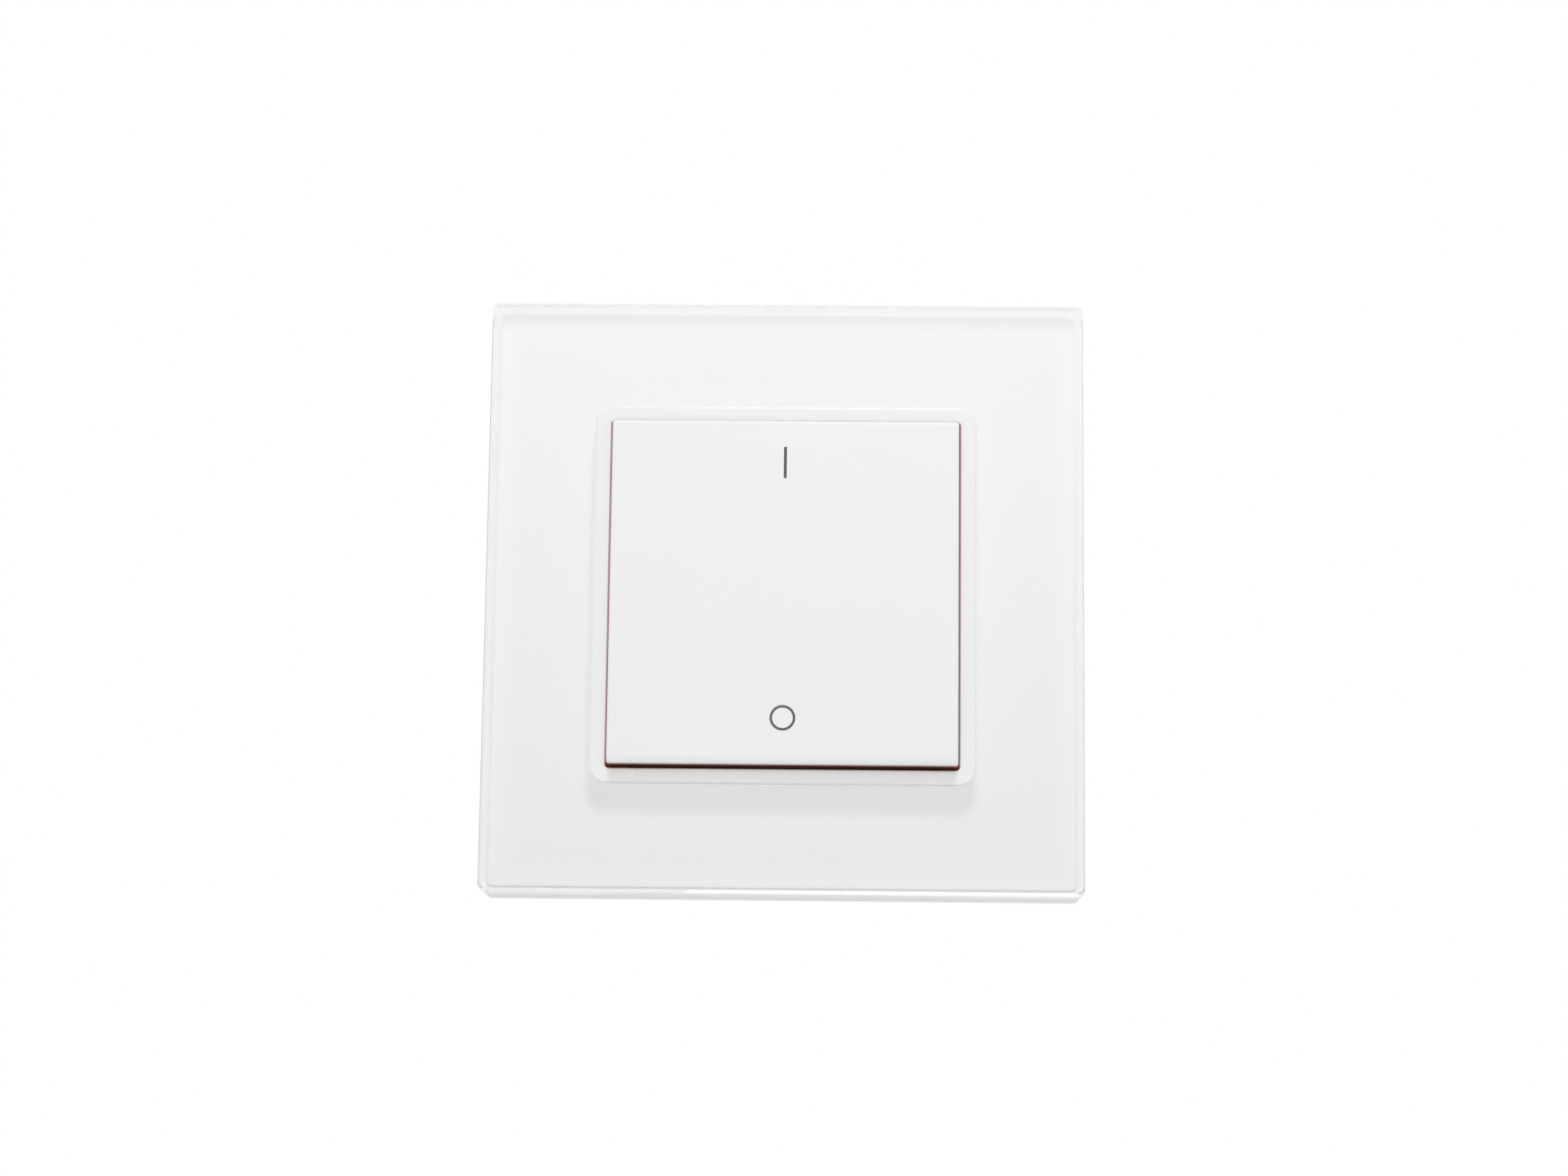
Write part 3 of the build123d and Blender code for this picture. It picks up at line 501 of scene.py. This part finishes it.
glass_plate = loft(
    "glass_plate_clear",
    [
        square_loop(GLASS_HALF, GLASS_CORNER, GLASS_BACK_Y - GLASS_ARRIS),
        square_loop(GLASS_HALF, GLASS_CORNER, GLASS_FACE_Y + GLASS_BEVEL),
        square_loop(GLASS_HALF - GLASS_BEVEL, GLASS_CORNER - GLASS_BEVEL / 2, GLASS_FACE_Y),
        square_loop(OPENING_HALF + OPENING_ARRIS, OPENING_CORNER + OPENING_ARRIS, GLASS_FACE_Y),
        square_loop(OPENING_HALF, OPENING_CORNER, GLASS_FACE_Y + OPENING_ARRIS),
        square_loop(OPENING_HALF, OPENING_CORNER, GLASS_BACK_Y),
        square_loop(GLASS_HALF - GLASS_ARRIS, GLASS_CORNER - GLASS_ARRIS / 2, GLASS_BACK_Y),
    ],
    float_glass("clear_glass", paints_wall_glow=False),
    float_glass("opening_glass", paints_wall_glow=True),
    second=OPENING_WALL_BAND,
)
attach(glass_plate, "base")
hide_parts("glass_plate")

# Surround ring: polished white insert of ABS, which snaps through the glass and the carrier into
# the wall plate with four hooked legs. The walls of the narrow gap round the rocker get a painted
# brown shade and a faint painted glow, and the band below the rocker a painted shade of the rocker.
# The opening has a crisp lip.
RING_FACE_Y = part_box("surround_ring")[0].y
RING_HOLE = Vector((25.25 * MM, 25.4 * MM))
RING_HOLE_CORNER = 0.6 * MM
LIP_ROUND = 0.25 * MM
CRISP_ROUND = 0.09 * MM
POINT_TOLERANCE = 0.01 * MM
GAP_LIGHT_DEPTH = 0.1 * MM
GAP_DARK_DEPTH = 0.6 * MM
GAP_MIDDLE = 25.1 * MM
GAP_REACH = 0.4 * MM
PAINTED_GAP_SHADE = (0.30, 0.10, 0.05, 1)
PAINTED_SIDE_GLOW = (0.13, 0.025, 0.012, 1)
PAINTED_END_GLOW = (0.022, 0.008, 0.004, 1)
BAND_WIDTH = 2.1 * MM
BAND_END_FADE = 1.0 * MM
PAINTED_BAND_SHADE = (
    (0.0, (0.765, 0.715, 0.68, 1)),
    (0.35, (0.845, 0.825, 0.815, 1)),
    (1.0, (0.90, 0.895, 0.89, 1)),
)


def fed(surface, socket):
    """The shade that is linked to one of the surface's sockets."""
    return Shade(surface.id_data, surface.inputs[socket].links[0].from_socket)


def paint_gap_shade_and_glow(material):
    """Paints a brown shade and a faint glow where the plastic is a wall of the gap, which stays when the
    rocker tilts.
    """
    surface = material.node_tree.nodes["Principled BSDF"]
    plastic = fed(surface, "Base Color")
    place = plastic.node("ShaderNodeNewGeometry", output="Position")
    x = place.node("ShaderNodeSeparateXYZ", None, {"Vector": place})
    at_side = abs(abs(x) - GAP_MIDDLE) < GAP_REACH
    at_gap = abs(abs(x).larger(abs(x.other("Z"))) - GAP_MIDDLE) < GAP_REACH
    down_gap = x.other("Y").rise(RING_FACE_Y + GAP_LIGHT_DEPTH, RING_FACE_Y + GAP_DARK_DEPTH)
    in_gap = at_gap * down_gap
    # painted shade: brown deep in the gap; painted glow: a faint warm emission, stronger at the sides
    feed(surface, "Base Color", in_gap.colour(plastic, PAINTED_GAP_SHADE))
    feed(surface, "Emission Color", in_gap.colour((0, 0, 0, 1), at_side.colour(PAINTED_END_GLOW, PAINTED_SIDE_GLOW)))
    feed(surface, "Roughness", fed(surface, "Roughness").larger(in_gap))
    surface.inputs["Emission Strength"].default_value = 1.0


def paint_shade_on_lower_band(material):
    """Paints the rocker's shade on the band below the opening, darkest at the gap, fading out towards its
    ends.
    """
    surface = material.node_tree.nodes["Principled BSDF"]
    plastic = fed(surface, "Base Color")
    place = plastic.node("ShaderNodeTexCoord", output="Object")
    x = place.node("ShaderNodeSeparateXYZ", None, {"Vector": place})
    below_gap = (x.other("Z") + RING_HOLE.y) * (-1 / BAND_WIDTH)
    # painted shade of the rocker, darkest next to the gap
    shade = below_gap.node("ShaderNodeValToRGB", {"stops": PAINTED_BAND_SHADE}, {"Fac": below_gap})
    in_band = (below_gap > 0.0) * (RING_HOLE.x - abs(x)).rise(0.0, BAND_END_FADE)
    shaded = plastic.node(
        "ShaderNodeVectorMath",
        {"operation": "MULTIPLY"},
        {0: plastic, 1: in_band.colour(grey(1.0), shade)},
    )
    feed(surface, "Base Color", shaded)


ring_plastic = moulded_plastic(
    "ring_plastic",
    light=grey(0.845),
    dark=grey(0.835),
    roughness=0.25,
    grain_size=0.3 * MM,
    grain_depth=0.003 * MM,
)
paint_gap_shade_and_glow(ring_plastic)
paint_shade_on_lower_band(ring_plastic)
ring_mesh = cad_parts["surround_ring"].data.copy()
for vertex in ring_mesh.vertices:
    depth = vertex.co.y - RING_FACE_Y
    from_corner = Vector((abs(vertex.co.x), abs(vertex.co.z))) - RING_HOLE
    from_corner = Vector([max(part + RING_HOLE_CORNER, 0.0) for part in from_corner])
    out = from_corner.length - RING_HOLE_CORNER
    if depth < LIP_ROUND + POINT_TOLERANCE and -POINT_TOLERANCE < out < LIP_ROUND + POINT_TOLERANCE:
        # on the opening's rounded lip: the same rounding, made smaller
        crisp = CRISP_ROUND / LIP_ROUND
        inward = from_corner.normalized() * out * (1 - crisp)
        vertex.co.x -= inward.x if vertex.co.x > 0 else -inward.x
        vertex.co.z -= inward.y if vertex.co.z > 0 else -inward.y
        vertex.co.y = RING_FACE_Y + depth * crisp
ring_mesh.materials.clear()
ring_piece = new_piece("surround_ring_crisp", ring_mesh, ring_plastic)
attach(ring_piece, "base")
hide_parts("surround_ring")

# Rocker cap: one moulding of white ABS with a fine satin grain, clipped over the module's two
# pins. It is the solid's mesh with finer ends: the lower one is pressed with a thumb and is well
# rounded, and the upper one is crisper and stands closer to the ring.
ROCKER_HALF = 25.0 * MM
ROCKER_FACE_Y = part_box("rocker_cap")[0].y
ROCKER_ROUND = 1.1 * MM
ROCKER_SHARP_ANGLE = radians(30)
# side of the axis, radius of the new rounding, how far it turns, and how far the end moves out
UPPER_END = (1, 0.5 * MM, radians(90), 0.15 * MM)
LOWER_END = (-1, 1.75 * MM, radians(40), -0.25 * MM)
rocker_plastic = moulded_plastic(
    "rocker_plastic",
    light=grey(0.835),
    dark=grey(0.825),
    roughness=0.36,
    grain_size=0.2 * MM,
    grain_depth=0.006 * MM,
)
# painted brown shade and glow on the rocker's walls in the gap
paint_gap_shade_and_glow(rocker_plastic)
rocker_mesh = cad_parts["rocker_cap"].data.copy()
for vertex in rocker_mesh.vertices:
    end, rounding, full_turn, rise = UPPER_END if vertex.co.z > 0 else LOWER_END
    past_z = end * vertex.co.z - (ROCKER_HALF - ROCKER_ROUND)
    past_y = ROCKER_FACE_Y + ROCKER_ROUND - vertex.co.y
    if past_z > -POINT_TOLERANCE and past_y > -POINT_TOLERANCE:
        # on the end's rounding: its turn from the face and its reach from the axis are changed
        turn = atan2(past_z, past_y) * full_turn / (pi / 2)
        reach = Vector((past_z, past_y)).length + rounding - ROCKER_ROUND
        axis_z = ROCKER_HALF + rise - rounding * sin(full_turn)
        vertex.co.z = end * (axis_z + reach * sin(turn))
        vertex.co.y = ROCKER_FACE_Y + rounding - reach * cos(turn)
    elif past_z > ROCKER_ROUND / 2:
        vertex.co.z += end * rise
rocker_mesh.set_sharp_from_angle(angle=ROCKER_SHARP_ANGLE)
rocker_mesh.materials.clear()
rocker_piece = new_piece("rocker_cap_rounded", rocker_mesh, rocker_plastic)
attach(rocker_piece, "rocker")
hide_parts("rocker_cap")

# Marks on the rocker: a plain bar for on above and a plain ring for off below, pad-printed in
# dark grey ink, a film only a few thousandths of a millimetre thick.
INK_THICKNESS = 0.006 * MM
INK_SINK = 0.005 * MM
INK_FACE_Y = ROCKER_FACE_Y - INK_THICKNESS
INK_BACK_Y = ROCKER_FACE_Y + INK_SINK
INK_GRAIN = 0.15 * MM
INK_RELIEF = 0.004 * MM
INK_ROUGHNESS = 0.4
INK_ROUGHNESS_SPREAD = 0.2
BAR_HALF_WIDTH = 0.216 * MM
BAR_HALF_HEIGHT = 2.3 * MM
BAR_Z = 18.9 * MM
RING_MARK_Z = -18.2 * MM
RING_MARK_OUTER = 1.83 * MM
RING_MARK_INNER = 1.47 * MM
MARK_STEPS = 64
print_ink, ink_surface, ink_place = new_finish("print_ink", {})
ink_cover = grain(ink_place, INK_GRAIN, detail=3.0)
feed(ink_surface, "Base Color", ink_cover.colour(grey(0.07), grey(0.10)))
feed(ink_surface, "Roughness", ink_cover * INK_ROUGHNESS_SPREAD + INK_ROUGHNESS)
raise_surface(ink_surface, ink_cover, INK_RELIEF)


def printed_mark(name, outline, hole=()):
    """A thin print on the rocker's face between an outline and a hole, or filled without one."""
    form = bmesh.new()
    back_outer, back_inner, face_outer, face_inner = [
        [form.verts.new((x, y, z)) for x, z in points]
        for y in (INK_BACK_Y, INK_FACE_Y)
        for points in (outline, hole)
    ]
    if hole:
        bridge(form, face_outer, face_inner)
        bridge(form, face_inner, back_inner)
        bridge(form, back_inner, back_outer)
    else:
        form.faces.new(face_outer)
        form.faces.new(back_outer)
    bridge(form, back_outer, face_outer)
    piece = new_piece(name, new_mesh(name, form), print_ink)
    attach(piece, "rocker")


def mark_circle(radius):
    """Points of a circle about the ring mark's middle."""
    turns = [2 * pi * i / MARK_STEPS for i in range(MARK_STEPS)]
    return [(radius * cos(turn), RING_MARK_Z + radius * sin(turn)) for turn in turns]


bar_outline = [
    (BAR_HALF_WIDTH * side_x, BAR_Z + BAR_HALF_HEIGHT * side_z)
    for side_x, side_z in ((-1, -1), (1, -1), (1, 1), (-1, 1))
]
printed_mark("mark_on_bar", bar_outline)
printed_mark("mark_off_ring", mark_circle(RING_MARK_OUTER), mark_circle(RING_MARK_INNER))

# Studio: pale painted floor below the switch. Near the object it keeps the shadow, and away from
# it the floor goes over into the white of the room, which shows a little less bright in a gloss.
FLOOR_Z = -0.10
FLOOR_HALF = 4.0
FLOOR_CLOUD = 0.3
SHADOW_REACH = 0.16
FADE_REACH = 0.4
MIRRORED_LEVEL = 0.8
floor_mesh = bpy.data.meshes.new("studio_floor")
floor_mesh.from_pydata(
    [(x * FLOOR_HALF, y * FLOOR_HALF, FLOOR_Z) for x, y in ((-1, -1), (1, -1), (1, 1), (-1, 1))],
    [],
    [(0, 1, 2, 3)],
)
floor_paint, floor_surface, floor_place = new_finish("floor_paint", {"Roughness": 0.9})
feed(floor_surface, "Base Color", grain(floor_place, FLOOR_CLOUD).colour(grey(0.86), grey(0.88)))
floor_camera = floor_place.node("ShaderNodeLightPath", output="Is Camera Ray")
floor_mirrored = floor_camera.other("Is Glossy Ray").larger(floor_camera.other("Is Transmission Ray"))
away = floor_place.node("ShaderNodeVectorMath", {"operation": "LENGTH"}, {0: floor_place}, output=1)
white_room = floor_place.node(
    "ShaderNodeMixShader",
    None,
    {
        0: floor_camera,
        1: floor_place.node("ShaderNodeEmission", None, {"Color": grey(MIRRORED_LEVEL)}),
        2: floor_place.node("ShaderNodeEmission", None, {"Color": grey(1.0)}),
    },
)
floor_or_room = floor_place.node(
    "ShaderNodeMixShader",
    None,
    {
        0: away.rise(SHADOW_REACH, FADE_REACH) * floor_camera.larger(floor_mirrored),
        1: Shade(floor_place.tree, floor_surface.outputs[0]),
        2: white_room,
    },
)
feed(floor_paint.node_tree.nodes["Material Output"], "Surface", floor_or_room)
studio_floor = new_piece("studio_floor", floor_mesh, floor_paint)

# Room light: even and neutral on the object, plain white to the camera, and a little less bright
# in a gloss. Two softboxes stand before the switch and shine down on it: the higher one draws the
# shadow below the ring, and the front one fills it.
ROOM_LIGHT = 0.78
world = bpy.data.worlds.new("white_room")
bpy.context.scene.world = world
world.use_nodes = True
room_camera = Shade(world.node_tree, None).node("ShaderNodeLightPath", output="Is Camera Ray")
room_mirrored = room_camera.other("Is Glossy Ray").larger(room_camera.other("Is Transmission Ray"))
room_lit = room_mirrored.colour(grey(ROOM_LIGHT), grey(MIRRORED_LEVEL))
feed(world.node_tree.nodes["Background"], "Color", room_camera.colour(room_lit, grey(1.0)))


def softbox(name, place, width, height, power):
    """A rectangular lamp turned towards the switch."""
    lamp = bpy.data.lights.new(name, "AREA")
    lamp.shape = "RECTANGLE"
    lamp.size = width
    lamp.size_y = height
    lamp.energy = power
    holder = bpy.data.objects.new(name, lamp)
    holder.location = place
    holder.rotation_euler = (-Vector(place)).to_track_quat("-Z", "Y").to_euler()
    bpy.context.collection.objects.link(holder)


softbox("overhead_softbox", place=(0.02, -0.44, 0.352), width=0.12, height=0.12, power=0.56)
softbox("front_softbox", place=(0.05, -0.48, 0.31), width=0.18, height=0.15, power=0.33)

# Camera: long lens a little below the switch, turned up to it. Its place, turn and lens were
# fitted to the corners of the glass, the ring and the rocker.
LENS = 80.81
SENSOR_WIDTH = 36.0
CAMERA_PLACE = (0.00959, -0.50848, -0.09097)
CAMERA_TURN = (radians(100.483), radians(-0.652), radians(0.989))
camera_data = bpy.data.cameras.new("camera")
camera_data.lens = LENS
camera_data.sensor_width = SENSOR_WIDTH
camera = bpy.data.objects.new("camera", camera_data)
camera.location = CAMERA_PLACE
camera.rotation_euler = CAMERA_TURN
bpy.context.collection.objects.link(camera)
bpy.context.scene.camera = camera
bpy.context.scene.view_settings.view_transform = "Standard"
